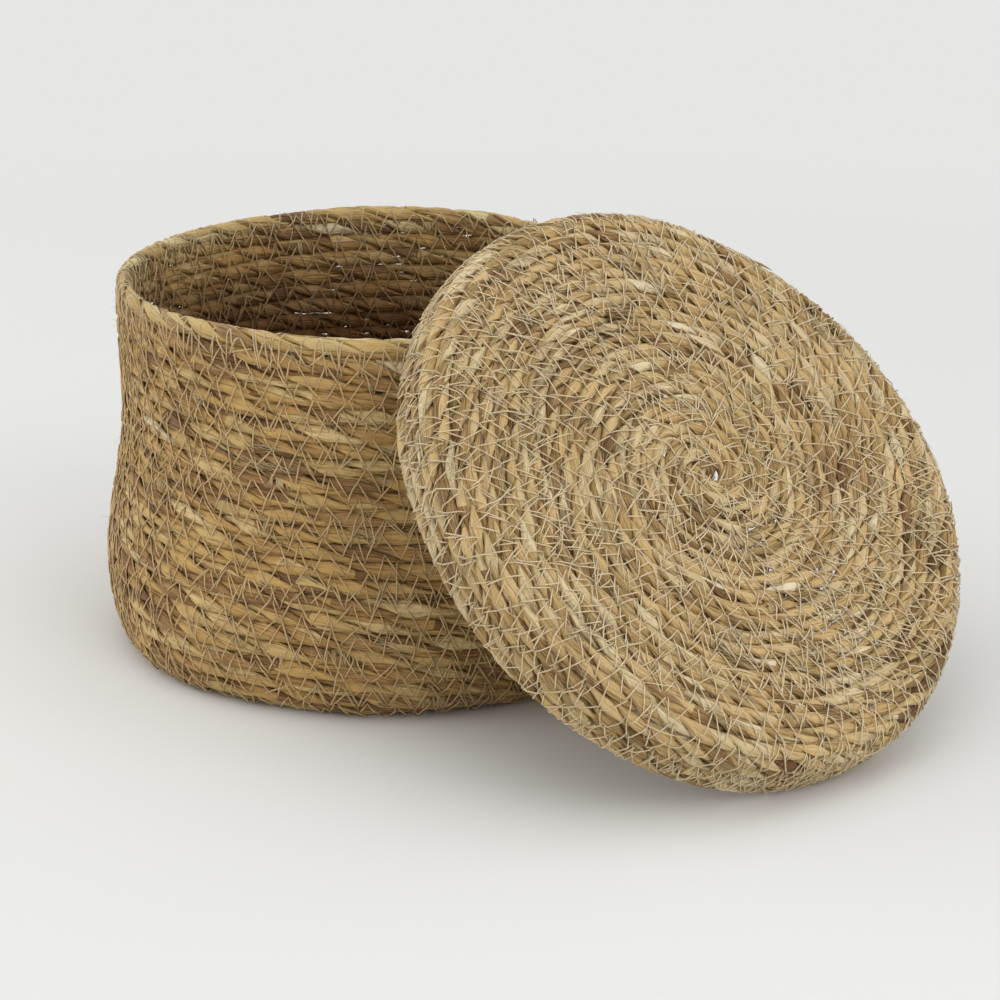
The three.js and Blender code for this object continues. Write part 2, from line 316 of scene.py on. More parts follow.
def seagrass(name, codes, bleached, inside):
    """Dried seagrass leaf in several browns, on a UV map of metres along the ply and turns round it."""
    material, add = new_material(name)
    coordinates = add("TexCoord")
    uv = coordinates.outputs["UV"]
    place = add("SeparateXYZ", {0: uv})
    along = place.outputs["X"]
    wander = add("TexNoise", {"W": along, "Scale": 1 / STRIP_WANDER_LENGTH, "Detail": 1.0},
                 noise_dimensions="1D")
    strip = add("Math", {0: place.outputs["Y"], 1: STRIPS_PER_PLY, 2: wander}, "MULTIPLY_ADD")
    strip_number = add("Math", {0: strip}, "FLOOR")
    leaf = add("Math", {0: along, 1: 1 / LEAF_LENGTH}, "MULTIPLY")
    staggered = add("Math", {0: strip_number, 1: LEAF_STAGGER, 2: leaf}, "MULTIPLY_ADD")
    leaf_number = add("Math", {0: staggered}, "FLOOR")
    which = add("CombineXYZ", {0: strip_number, 1: leaf_number})
    chance = add("TexWhiteNoise", {"Vector": which}, noise_dimensions="2D")
    streak_map = add("Mapping", {"Vector": uv, "Scale": (1 / STREAK_LENGTH, STREAKS_PER_PLY, 1.0)})
    streak = add("TexNoise", {"Vector": streak_map, "Scale": 1.0, "Detail": 3.0}, noise_dimensions="2D")
    work = coordinates.outputs["Object"]
    patch = add("TexNoise", {"Vector": work, "Scale": 1 / PATCH_SIZE, "Detail": 2.0})
    tone = add("Math", {0: chance, 1: LEAF_TONE, 2: TONE_START}, "MULTIPLY_ADD")
    streaked = add("Math", {0: streak, 1: STREAK_TONE, 2: tone}, "MULTIPLY_ADD")
    patched = add("Math", {0: patch, 1: PATCH_TONE, 2: streaked}, "MULTIPLY_ADD")
    browns = [linear(code) for code in codes.split()]
    brown = add("ValToRGB", {"Fac": patched},
                stops=[(0.1 + 0.8 * k / (len(browns) - 1), shade) for k, shade in enumerate(browns)])
    pale = add("Math", {0: chance.outputs["Color"], 1: BLEACHED_FROM}, "GREATER_THAN")
    worn = add("Math", {0: pale, 1: streak}, "MULTIPLY")
    colour = add("Mix", {"Factor": worn, "A": brown, "B": linear(bleached)}, data_type="RGBA")
    fold = add("Math", {0: strip, 1: 0.5}, "PINGPONG")
    # painted shade in the split between two strips
    edge = add("MapRange", {"Value": fold, "From Max": SPLIT_WIDTH, "To Min": SPLIT_SHADE})
    crack = add("MapRange", {"Value": streak, "From Min": 0.3, "From Max": 0.42, "To Min": CRACK_SHADE})
    level = add("Math", {0: edge, 1: crack}, "MULTIPLY")
    split = add("VectorMath", {0: colour, "Scale": level}, "SCALE")
    crinkle_map = add("Mapping", {"Vector": uv, "Scale": (1 / CRINKLE_LENGTH, CRINKLES_PER_PLY, 1.0)})
    crinkle = add("TexNoise", {"Vector": crinkle_map, "Scale": 1.0, "Detail": 2.0}, noise_dimensions="2D")
    ridge = add("Math", {0: fold, 1: 0.12}, "MINIMUM")
    relief = add("Math", {0: streak, 1: 0.4, 2: ridge}, "MULTIPLY_ADD")
    rough = add("Math", {0: crinkle, 1: 0.5, 2: relief}, "MULTIPLY_ADD")
    bump = add("Bump", {"Height": rough, "Strength": 0.7, "Distance": LEAF_RELIEF})
    shine = add("MapRange", {"Value": streak, "To Min": 0.5, "To Max": 0.8})
    shader = add("BsdfPrincipled", {
        "Base Color": painted_shade_and_rim_light(add, split, coordinates, inside), "Roughness": shine, "IOR": 1.45,
        "Specular IOR Level": 0.35, "Sheen Weight": FUZZ, "Sheen Tint": linear(bleached), "Normal": bump})
    add("OutputMaterial", {"Surface": shader})
    return material


# Two-ply spun thread. The eye sees a matt tan line with a slant of darker twist.
THREAD_LAY = 2.4 * MM
THREAD_PATCH = 9 * MM
THREAD_RELIEF = 0.2 * MM


def sewing_thread(name, code, inside):
    """Spun tan thread, on a UV map of metres along it and turns round it."""
    material, add = new_material(name)
    coordinates = add("TexCoord")
    place = add("SeparateXYZ", {0: coordinates.outputs["UV"]})
    slant = add("Math", {0: place.outputs["X"], 1: 1 / THREAD_LAY, 2: place.outputs["Y"]}, "MULTIPLY_ADD")
    ply = add("Math", {0: slant, 1: 0.5}, "PINGPONG")
    patch = add("TexNoise", {"Vector": coordinates.outputs["Object"], "Scale": 1 / THREAD_PATCH})
    shade = add("Math", {0: ply, 1: 0.5, 2: patch}, "MULTIPLY_ADD")
    spun = add("MapRange", {
        "Value": shade, "From Min": 0.3, "From Max": 0.95, "To Min": 0.72, "To Max": 1.12})
    twine = add("VectorMath", {0: linear(code)[:3], "Scale": spun}, "SCALE")
    bump = add("Bump", {"Height": ply, "Strength": 0.5, "Distance": THREAD_RELIEF})
    shader = add("BsdfPrincipled", {
        "Base Color": painted_shade_and_rim_light(add, twine, coordinates, inside), "Roughness": 0.8, "IOR": 1.45,
        "Specular IOR Level": 0.3, "Sheen Weight": FUZZ, "Sheen Tint": linear(code), "Normal": bump})
    add("OutputMaterial", {"Surface": shader})
    return material


# Seamless paper. The eye sees an even pale floor that only takes soft shadows, and far off one pale tone.
PAPER_GRAIN = 400 * MM
PAPER_NEAR = 0.35
PAPER_FAR = 1.1


def seen_or_mirrored(add):
    """One for rays that the camera sees, straight or in a shine, and nought for those that only light."""
    path = add("LightPath").outputs
    mirrored = add("Math", {0: path["Is Glossy Ray"], 1: path["Is Transmission Ray"]}, "MAXIMUM")
    return add("Math", {0: path["Is Camera Ray"], 1: mirrored}, "MAXIMUM")


def studio_paper(name, code):
    """Matt pale paper, barely uneven, which far from the object looks as pale as it is to the camera."""
    material, add = new_material(name)
    place = add("TexCoord").outputs["Object"]
    grain = add("TexNoise", {"Vector": place, "Scale": 1 / PAPER_GRAIN})
    level = add("MapRange", {"Value": grain, "To Min": 0.99, "To Max": 1.01})
    colour = add("VectorMath", {0: linear(code)[:3], "Scale": level}, "SCALE")
    paper = add("BsdfPrincipled", {"Base Color": colour, "Roughness": 0.9, "Specular IOR Level": 0.2})
    distance = add("VectorMath", {0: place}, "LENGTH")
    far = add("MapRange", {"Value": distance, "From Min": PAPER_NEAR, "From Max": PAPER_FAR},
              interpolation_type="SMOOTHSTEP")
    share = add("Math", {0: far, 1: seen_or_mirrored(add)}, "MULTIPLY")
    glow = add("Emission", {"Color": linear(code)})
    mix = add("MixShader", {0: share, 1: paper, 2: glow})
    add("OutputMaterial", {"Surface": mix})
    return material


def bezier(*points):
    """Points along a Bezier curve of any degree, without its first one."""
    share = np.linspace(0, 1, PROFILE_STEPS + 1)[1:, None]
    level = [np.array(p, dtype=float) for p in points]
    while len(level) > 1:
        level = [a + (b - a) * share for a, b in zip(level, level[1:])]
    return level[0]


def arc(centre, width, height):
    """Points along the lower outer quarter of an ellipse, without its first one."""
    angle = np.linspace(-math.pi / 2, 0, PROFILE_STEPS + 1)[1:]
    return np.stack([centre[0] + width * np.cos(angle), centre[1] + height * np.sin(angle)], axis=1)


def basket_profile(rope):
    """The rope's middle line in a half section of the basket: distance from the axis, and height."""
    seat = SEAT_SHARE * rope
    foot = BULGE_RADIUS - HEEL_WIDTH
    bulge = BULGE_RADIUS - seat
    neck = NECK_RADIUS - seat
    rim = RIM_RADIUS - seat
    neck_height = BULGE_HEIGHT + NECK_RISE
    top = neck_height + RIM_RISE - HALF_WIDTH_SHARE * rope
    above_bulge = BULGE_HEIGHT + BULGE_FULLNESS * NECK_RISE
    below_neck = neck_height - NECK_FULLNESS * NECK_RISE
    base = bezier((0, seat), (foot, seat))
    heel = arc((foot, BULGE_HEIGHT), bulge - foot, BULGE_HEIGHT - seat)
    wall = bezier((bulge, BULGE_HEIGHT), (bulge, above_bulge), (neck, below_neck), (neck, neck_height))
    rise = bezier((neck, neck_height), (neck, (neck_height + top) / 2), (rim, top))
    return np.concatenate([[(0, seat)], base, heel, wall, rise])


def lid_profile(rope):
    """The same line for the lid, which is a shallow basket turned over."""
    seat = SEAT_SHARE * rope
    wall = LID_RADIUS - seat
    flat = wall - LID_CORNER_RADIUS
    plate = bezier((0, seat), (flat, seat))
    corner = arc((flat, seat + LID_CORNER_RADIUS), LID_CORNER_RADIUS, LID_CORNER_RADIUS)
    skirt = bezier((wall, seat + LID_CORNER_RADIUS), (wall, LID_DEPTH - HALF_WIDTH_SHARE * rope))
    return np.concatenate([[(0, seat)], plate, corner, skirt])


def facet_middle(turns):
    """The middle of the last whole facet of a solid's coil, where its rope is cut."""
    return (math.floor(turns * END_STEPS_PER_TURN) - 0.5) / END_STEPS_PER_TURN


def uneven(rng, along, size, wavelength):
    """A smooth seeded line over places along a strand, up to some size either way."""
    knots = rng.uniform(-1, 1, int(np.max(along) / wavelength) + 3)
    place = along / wavelength
    low = np.floor(place).astype(int)
    share = place - low
    ease = share * share * (3 - 2 * share)
    return size * (knots[low] * (1 - ease) + knots[low + 1] * ease)


class Wander:
    """A slow unevenness of the handwork, alike on turns that lie side by side."""

    def __init__(self, rng, size, around=(2, 7), across=60 * MM, waves=9):
        self.rounds = rng.integers(around[0], around[1] + 1, waves)
        self.climb = rng.uniform(-1, 1, waves) * TAU / across
        self.phase = rng.uniform(0, TAU, waves)
        self.size = size * rng.uniform(0.4, 1, waves) / math.sqrt(waves)

    def at(self, angle, height):
        total = np.zeros_like(angle)
        for rounds, climb, phase, size in zip(self.rounds, self.climb, self.phase, self.size):
            total += size * np.sin(rounds * angle + climb * height + phase)
        return total


class Coil:
    """A rope coiled round +Z, clockwise from above, that climbs its profile by one pitch in each turn."""

    def __init__(self, body, sizes, profile, end_azimuth, place, floor, seed):
        names = ("rope", "lay", "press", "fill", "thread", "stitch")
        rope, lay, press, fill, thread, stitch = (getattr(sizes, f"{body}_{name}") for name in names)
        pitch = rope + TURN_GAP
        self.body = body
        self.place = place
        self.profile = profile
        self.pitch = pitch
        self.half_width = HALF_WIDTH_SHARE * rope
        self.lay = lay
        self.press = press
        self.stitch = stitch
        self.reach = sizes.reach * pitch
        self.thread = thread
        self.ply_offset = PLY_OFFSET * pitch
        self.ply_thickness = PLY_THICKNESS * pitch
        self.ply_width = fill * pitch
        self.radius = self.ply_offset + self.ply_thickness / 2
        self.surface = press * self.radius
        self.floor_normal, self.floor_height = floor
        steps = np.diff(profile, axis=0)
        self.travel = np.concatenate([[0], np.cumsum(np.hypot(*steps.T))])
        slope = np.arctan2(steps[:, 1], steps[:, 0])
        self.slope = np.concatenate([slope, slope[-1:]])
        self.flat_end = facet_middle(self.travel[np.argmax(self.slope > 1e-6)] / pitch)
        self.end = facet_middle(self.travel[-1] / pitch)
        self.azimuth = end_azimuth + TAU * self.end
        self.turns = np.arange(0, self.end + 1, 1 / TURN_STEPS)
        radius = np.interp(pitch * self.turns, self.travel, profile[:, 0])
        self.lengths = np.concatenate([[0], np.cumsum(TAU * radius[:-1] / TURN_STEPS)])
        rng = np.random.default_rng(seed)
        self.swell = Wander(rng, SWELL)
        self.sway = Wander(rng, SWAY)

    def length_at(self, turns):
        """The length of rope in some turns from the middle."""
        return np.interp(turns, self.turns, self.lengths)

    def turns_at(self, length):
        """The turns that a length of rope makes from the middle."""
        return np.interp(length, self.lengths, self.turns)

    def settle(self, points, clearance):
        """Lifts points off the floor by what they lack of a clearance."""
        height = points @ self.floor_normal + self.floor_height
        return points + np.maximum(clearance - height, 0)[:, None] * self.floor_normal

    def frames(self, turns, along):
        """Middle, outward, across and slope where the coil is after some turns, moved along its profile."""
        angle = self.azimuth - TAU * turns
        place = self.pitch * turns + along
        sunk = np.clip(1 - (self.end - place / self.pitch) / SINK_TURNS, 0, 1)
        place = place - SINK_DEPTH * sunk
        fade = np.clip(place / (CALM_TURNS * self.pitch), 0, 1)
        sway = fade * self.sway.at(angle, place)
        swell = fade * self.swell.at(angle, place)
        beyond = np.maximum(place - self.travel[-1], 0)
        slope = np.interp(place, self.travel, self.slope)
        radius = np.interp(place, self.travel, self.profile[:, 0]) + beyond * np.cos(slope)
        height = np.interp(place, self.travel, self.profile[:, 1]) + beyond * np.sin(slope)
        radius = radius + sway * np.cos(slope) + swell * np.sin(slope)
        height = height + sway * np.sin(slope) - swell * np.cos(slope)
        outwards = np.stack([np.cos(angle), np.sin(angle), np.zeros_like(angle)], axis=1)
        upwards = np.array([0, 0, 1.0])
        middle = radius[:, None] * outwards + height[:, None] * upwards
        across = np.cos(slope)[:, None] * outwards + np.sin(slope)[:, None] * upwards
        outward = np.sin(slope)[:, None] * outwards - np.cos(slope)[:, None] * upwards
        return self.settle(middle, self.surface + ROPE_SLACK), outward, across, slope

    def spot_frames(self, length, along):
        """Where some spots along the rope are, with the ways along it, across it and out, and the slope."""
        middle, outward, across, slope = self.frames(self.turns_at(length), along)
        return middle, np.cross(across, outward), across, outward, slope

    def points(self, length, along, out, side, clearance):
        """Points out from the rope's middle line and to its side, clear of the floor."""
        middle, outward, across, _ = self.frames(self.turns_at(length), along)
        return self.settle(middle + out[:, None] * outward + side[:, None] * across, clearance)


def basket_coil(sizes):
    """The basket's coil, which stands on the floor."""
    profile = basket_profile(sizes.basket_rope)
    floor = (np.array([0, 0, 1.0]), 0.0)
    return Coil("basket", sizes, profile, RIM_END_AZIMUTH, Matrix(), floor, seed=3)


def lid_coil(sizes):
    """The lid's coil, which is turned over and leans."""
    profile = lid_profile(sizes.lid_rope)
    place = Matrix.Translation(LID_PLACE) @ Matrix.Rotation(math.pi + LEAN_ANGLE, 4, "Y")
    floor = (np.array([math.sin(LEAN_ANGLE), 0, -math.cos(LEAN_ANGLE)]), LID_PLACE.z)
    return Coil("lid", sizes, profile, SKIRT_END_AZIMUTH, place, floor, seed=8)


@dataclass
class Strand:
    """A line of points with the turn and the size of its section, and what it is pressed against."""

    points: np.ndarray
    tilt: np.ndarray = 0.0
    size: np.ndarray = 1.0
    start: float = 0.0
    leaf_turns: float = 0.0
    press: float = 1.0
    middle: np.ndarray = None
    outward: np.ndarray = None


def section_curve(corners):
    """A closed flat outline to sweep along a strand, clockwise so that the swept faces point out."""
    curve = bpy.data.curves.new("section", "CURVE")
    curve.dimensions = "2D"
    spline = curve.splines.new("POLY")
    spline.points.add(len(corners) - 1)
    rows = [(x, y, 0, 1) for x, y in reversed(corners)]
    spline.points.foreach_set("co", np.array(rows, dtype=np.float32).ravel())
    spline.use_cyclic_u = True
    return bpy.data.objects.new("section", curve)


def sweep(name, strands, corners, twist):
    """A mesh of a section swept along each strand, open at its ends."""
    section = section_curve(corners)
    curve = bpy.data.curves.new(name, "CURVE")
    curve.dimensions = "3D"
    curve.twist_mode = twist
    curve.bevel_mode = "OBJECT"
    curve.bevel_object = section
    for strand in strands:
        count = len(strand.points)
        spline = curve.splines.new("POLY")
        spline.points.add(count - 1)
        rows = np.concatenate([strand.points, np.ones((count, 1))], axis=1)
        spline.points.foreach_set("co", rows.astype(np.float32).ravel())
        spline.points.foreach_set("tilt", np.full(count, strand.tilt, dtype=np.float32))
        spline.points.foreach_set("radius", np.full(count, strand.size, dtype=np.float32))
    swept = bpy.data.objects.new(name, curve)
    for thing in (section, swept):
        bpy.context.scene.collection.objects.link(thing)
    mesh = bpy.data.meshes.new_from_object(swept.evaluated_get(bpy.context.evaluated_depsgraph_get()))
    mesh.name = name
    for thing in (swept, section):
        data = thing.data
        bpy.data.objects.remove(thing)
        bpy.data.curves.remove(data)
    return mesh


def press_and_map(mesh, strands, sides):
    """Presses each strand flat against its work, and maps metres along it and turns round it."""
    layer = mesh.uv_layers[0]
    uv = np.empty(2 * len(mesh.loops), dtype=np.float32)
    layer.uv.foreach_get("vector", uv)
    uv = uv.reshape(-1, 2)
    places = np.empty(3 * len(mesh.vertices), dtype=np.float32)
    mesh.vertices.foreach_get("co", places)
    places = places.reshape(-1, sides, 3)
    first = 0
    ring = 0
    for strand in strands:
        rings = len(strand.points)
        loops = 4 * sides * (rings - 1)
        steps = np.linalg.norm(np.diff(strand.points, axis=0), axis=1)
        along = uv[first:first + loops, 0] * steps.sum()
        uv[first:first + loops, 0] = along + strand.start
        uv[first:first + loops, 1] += strand.leaf_turns * along
        if strand.middle is not None:
            block = places[ring:ring + rings]
            outward = strand.outward[:, None]
            depth = ((block - strand.middle[:, None]) * outward).sum(axis=2, keepdims=True)
            block += (strand.press - 1) * depth * outward
        first += loops
        ring += rings
    layer.uv.foreach_set("vector", uv.ravel())
    mesh.vertices.foreach_set("co", places.ravel())


def close_ends(mesh):
    """Fills the open ends and turns every face outwards."""
    shape = bmesh.new()
    shape.from_mesh(mesh)
    bmesh.ops.holes_fill(shape, edges=[e for e in shape.edges if e.is_boundary], sides=0)
    bmesh.ops.recalc_face_normals(shape, faces=shape.faces)
    shape.to_mesh(mesh)
    shape.free()


def crease(mesh, sides, corners):
    """Keeps the edges along some corners of the section sharp, on an otherwise smooth mesh."""
    mesh.shade_smooth()
    ends = np.empty(2 * len(mesh.edges), dtype=np.int32)
    mesh.edges.foreach_get("vertices", ends)
    low, high = np.sort(ends.reshape(-1, 2), axis=1).T
    mesh.edges.foreach_set("use_edge_sharp", (high - low == sides) & np.isin(low % sides, corners))


def make_piece(coil, name, strands, corners, twist, material, node=None, creases=()):
    """Sweeps strands into a piece that rides with its coil, in place of the solid that it stands for."""
    mesh = sweep(name, strands, corners, twist)
    press_and_map(mesh, strands, len(corners))
    close_ends(mesh)
    mesh.transform(coil.place)
    crease(mesh, len(corners), creases)
    mesh.materials.clear()
    mesh.materials.append(material)
    piece = bpy.data.objects.new(name, mesh)
    bpy.context.scene.collection.objects.link(piece)
    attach(piece, coil.body)
    if node:
        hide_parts(node)


# A ply's section: five points on its round outer side and three on the side that meets the other ply
OUTER_CORNERS = ((0.1, -1.0), (0.74, -0.74), (1.0, -0.12), (0.84, 0.62), (0.1, 1.0))
INNER_CORNERS = ((-0.62, 0.62), (-0.78, 0.0), (-0.62, -0.62))
LEAF_CREASES = (3, 5, 6)

# How far a rope strays, and over what length: sideways, outwards and in its wind, and each ply in its wind,
# in its size over short lengths and long ones, and in its distance from the middle line
SIDE_STRAY = (0.3 * MM, 35 * MM)
OUT_STRAY = (0.35 * MM, 28 * MM)
WIND_STRAY = (1.8, 90 * MM)
PLY_WIND_STRAY = (0.3, 30 * MM)
PLY_SIZE_STRAY = (0.08, 18 * MM)
PLY_BULK_STRAY = (0.1, 60 * MM)
PLY_OFFSET_STRAY = (0.08, 22 * MM)

# The second ply reads its leaves from a place so far along that they never match the first one's
PLY_LEAF_SHIFT = 97.0

# From one section of a rope to the next
BASKET_ROPE_STEP = 3.05 * MM
LID_ROPE_STEP = 2.0 * MM


def scaled_corners(corners, thickness, width):
    """A section's corners, drawn from -1 to 1, at its real size."""
    return [(thickness / 2 * x, width / 2 * y) for x, y in corners]


def round_corners(radius, sides):
    """The corners of a round section."""
    return [(radius * math.cos(TAU * k / sides), radius * math.sin(TAU * k / sides)) for k in range(sides)]


def twist_rope(coil, first, last, step, rng):
    """The two plies of the rope between two turns, each wound round the coil's middle line."""
    length = np.arange(coil.length_at(first), coil.length_at(last), step)
    turns = coil.turns_at(length)
    middle, outward, across, slope = coil.frames(turns, 0.0)
    run = length - length[0]
    share = TAPER_SHARE + (1 - TAPER_SHARE) * np.clip((coil.end - turns) / TAPER_TURNS, 0, 1)
    tuck = np.clip((FIRST_TURN + TUCK_TURNS - turns) / TUCK_TURNS, 0, 1) ** 2
    sideways = (share - 1) * coil.half_width + uneven(rng, run, *SIDE_STRAY)
    outwards = uneven(rng, run, *OUT_STRAY) - TUCK_DEPTH * tuck
    middle = middle + sideways[:, None] * across + outwards[:, None] * outward
    wind = TAU * length / coil.lay + uneven(rng, run, *WIND_STRAY)
    strands = []
    for ply in range(2):
        phase = wind + ply * math.pi + uneven(rng, run, *PLY_WIND_STRAY)
        size = share * (1 + uneven(rng, run, *PLY_SIZE_STRAY) + uneven(rng, run, *PLY_BULK_STRAY))
        offset = coil.ply_offset * share * (1 + uneven(rng, run, *PLY_OFFSET_STRAY))
        out = (offset * np.cos(phase))[:, None] * outward
        side = (offset * np.sin(phase))[:, None] * across
        strands.append(Strand(
            middle + out + side, tilt=slope + phase + math.pi / 2, size=size,
            start=length[0] + PLY_LEAF_SHIFT * ply, leaf_turns=1 / coil.lay,
            press=coil.press, middle=middle, outward=outward))
    return strands


def coil_rope(coil, flat_name, wall_name, step, leaf, seed):
    """Twists the rope of the flat spiral and then of the wall, each in place of the solid of its name."""
    rng = np.random.default_rng(seed)
    corners = scaled_corners(OUTER_CORNERS + INNER_CORNERS, coil.ply_thickness, coil.ply_width)
    for name, first, last in ((flat_name, FIRST_TURN, coil.flat_end), (wall_name, coil.flat_end, coil.end)):
        plies = twist_rope(coil, first, last, step, rng)
        make_piece(coil, f"{name}_rope", plies, corners, "Z_UP", leaf,
                   f"{name}_coil", LEAF_CREASES)


class CoilRopes(bpy.types.Operator):
    """Coil the ropes of the basket and of the lid, each from its flat spiral up its wall"""

    bl_idname = "basket.coil_ropes"
    bl_label = "Coil the ropes"

    def execute(self, context):
        sizes = context.scene.basket_sizes
        finish = context.scene.basket_finish
        leaf = seagrass("dried seagrass leaf", finish.basket_leaf, finish.bleached_leaf, finish.inside)
        coil_rope(basket_coil(sizes), "base", "wall", BASKET_ROPE_STEP, leaf, seed=11)
        leaf = seagrass("pale dried seagrass leaf", finish.lid_leaf, finish.bleached_leaf, "")
        coil_rope(lid_coil(sizes), "lid_top", "lid_skirt", LID_ROPE_STEP, leaf, seed=12)
        return {"FINISHED"}


THREAD_SIDES = 4

# A leg of the zigzag comes out of a hole and rides on the two turns that it joins
LEG_SHARES = (0.0, 0.28, 0.72)
LEG_DIPS = (0.9 * MM, 0.0, 0.0)
LEG_BEND = 0.9 * MM
LEG_SLACK = 0.9 * MM

# How far the holes of a row stray: along it in shares of half a stitch, across it in shares of its height,
# and across it as a whole, over what length
HOLE_STRAY = 0.4
HEIGHT_STRAY = 0.35
ROW_STRAY = (1.2 * MM, 45 * MM)

# Loose threads: how long they are, how deep their ends dive, and how far they turn from the rope
FLOAT_LENGTHS = (8 * MM, 22 * MM)
FLOAT_POINTS = 5
FLOAT_DIVE = 0.8 * MM
FLOAT_SPREAD = 0.6
MIDDLE_FIRST = 0.6
MIDDLE_LAST = 5.5

# A loop over the last turn: quarters of the way round its rope, and how many turns below it each point lies
LOOP_QUARTERS = np.array([0, 0, 0, 0.3, 0.6, 0.8, 1.0, 1.2, 1.4, 1.7, 2.0, 2.0])
LOOP_DROPS = np.array([1.5, 1.0, 0.5, 0, 0, 0, 0, 0, 0, 0, 0, 0.8])
LOOP_SPACING = 0.42


def zigzag(coil, start, end, side, rng):
    """One row of stitches along the seam between each turn and the next, on one face of the work."""
    half = coil.stitch / 2
    count = max(int((end - start) / half), 3)
    number = np.arange(count)
    place = start + half * (number + HOLE_STRAY * rng.uniform(-1, 1, count))
    height = np.where(number % 2, 1, -1) * coil.reach / 2 * (1 + HEIGHT_STRAY * rng.uniform(-1, 1, count))
    height = height + uneven(rng, place - np.min(place), *ROW_STRAY)
    top = coil.travel[-1] - coil.pitch * (coil.turns_at(place) + 0.5) + 0.3 * coil.pitch
    height = np.minimum(height, top)
    crest = coil.surface + 0.5 * coil.thread
    bend = LEG_BEND * rng.uniform(-1, 1, count - 1)
    slack = LEG_SLACK * rng.random(count - 1) ** 2
    rows = []
    for share, dip in zip(LEG_SHARES, LEG_DIPS):
        arch = 4 * share * (1 - share)
        length = place[:-1] + (place[1:] - place[:-1]) * share + bend * arch
        across = height[:-1] + (height[1:] - height[:-1]) * share
        lift = side * (crest - dip + slack * arch)
        rows.append(coil.points(length, coil.pitch / 2 + across, lift, 0 * lift, 0.6 * coil.thread))
    return Strand(np.stack(rows, axis=1).reshape(-1, 3), start=rng.uniform(0, 1))


def bursts(start, end, stretch, pause, rng):
    """Stretches of a long line, with pauses between them."""
    place = start + rng.uniform(0, pause)
    while place < end:
        stop = min(place + stretch * rng.uniform(0.3, 1.7), end)
        yield place, stop
        place = stop + pause * rng.uniform(0.3, 1.7)


def float_thread(coil, place, spread, rng):
    """A loose straight length of thread that crosses a few turns, on top of the stitches."""
    length = rng.uniform(*FLOAT_LENGTHS)
    turn = spread * rng.normal()
    along = coil.pitch * rng.uniform(-0.5, 0.5)
    middle, forward, across, outward, _ = coil.spot_frames(np.array([place]), along)
    share = np.linspace(-0.5, 0.5, FLOAT_POINTS)[:, None]
    bow = rng.uniform(-1, 1) * MM * np.cos(math.pi * share)
    lift = coil.surface - FLOAT_DIVE + (FLOAT_DIVE + coil.thread) * np.cos(math.pi * share) ** 0.5
    way = math.cos(turn) * forward + math.sin(turn) * across
    points = middle + length * share * way + bow * across + lift * outward
    return Strand(coil.settle(points, coil.thread / 2), start=rng.uniform(0, 1))


def rim_loop(coil, place, rng):
    """A stitch that climbs the outside, goes over the top of the last turn and comes down inside."""
    angle = LOOP_QUARTERS * math.pi / 2
    slant = coil.stitch / 2 * np.linspace(-0.6, 0.4, len(angle)) * rng.choice([-1, 1])
    out = (coil.surface + 0.4 * coil.thread) * np.cos(angle)
    over = (coil.radius + 0.1 * coil.thread) * np.sin(angle)
    points = coil.points(place + slant, -LOOP_DROPS * coil.pitch, out, over, coil.thread / 2)
    return Strand(points, start=rng.uniform(0, 1))


@dataclass
class Seam:
    """A span of turns to sew, with its second rows and its loose threads per metre and in its middle."""

    name: str
    first: float
    last: float
    stretch: float
    pause: float
    floats: float
    middle_floats: int = 0


def sew(coil, thread, seed, seams):
    """Sews each span on its outer face, again in bursts, and on its inner face, and binds the last turn."""
    rng = np.random.default_rng(seed)
    corners = round_corners(coil.thread / 2, THREAD_SIDES)
    for seam in seams:
        start = coil.length_at(seam.first)
        end = coil.length_at(seam.last)
        rows = [zigzag(coil, start, end, side, rng) for side in (1, -1)]
        for first, last in bursts(start, end, seam.stretch, seam.pause, rng):
            rows.append(zigzag(coil, first, last, 1, rng))
        for spot in rng.uniform(start, end, int(seam.floats * (end - start))):
            rows.append(float_thread(coil, spot, FLOAT_SPREAD, rng))
        for spot in coil.length_at(rng.uniform(MIDDLE_FIRST, MIDDLE_LAST, seam.middle_floats)):
            rows.append(float_thread(coil, spot, math.pi, rng))
        if seam is seams[-1]:
            edge = coil.length_at(coil.end - 1)
            tip = coil.length_at(coil.end - 2 * TAPER_TURNS)
            for spot in np.arange(edge, tip, LOOP_SPACING * coil.stitch):
                rows.append(rim_loop(coil, spot + coil.stitch * rng.uniform(0, 0.5), rng))
        make_piece(coil, f"{seam.name}_zigzag", rows, corners, "MINIMUM", thread,
                   f"{seam.name}_stitching")


class SewTurns(bpy.types.Operator):
    """Sew the turns of the basket together, and those of the lid, much of whose outside is sewn twice"""

    bl_idname = "basket.sew_turns"
    bl_label = "Sew the turns"

    def execute(self, context):
        sizes = context.scene.basket_sizes
        finish = context.scene.basket_finish
        thread = sewing_thread("spun sewing thread", finish.basket_thread, finish.inside_thread_shade)
        coil = basket_coil(sizes)
        turn = coil.flat_end - 1
        sew(coil, thread, seed=21, seams=(
            Seam("base", FIRST_TURN + TUCK_TURNS, turn, stretch=60 * MM, pause=500 * MM, floats=2),
            Seam("wall", turn, coil.end - 1, stretch=100 * MM, pause=340 * MM, floats=2)))
        thread = sewing_thread("spun lid thread", finish.lid_thread, "")
        coil = lid_coil(sizes)
        turn = coil.flat_end - 1
        sew(coil, thread, seed=22, seams=(
            Seam("lid_top", FIRST_TURN + TUCK_TURNS, turn, stretch=110 * MM, pause=200 * MM, floats=9,
                 middle_floats=40),
            Seam("lid_skirt", turn, coil.end - 1, stretch=110 * MM, pause=260 * MM, floats=7)))
        return {"FINISHED"}


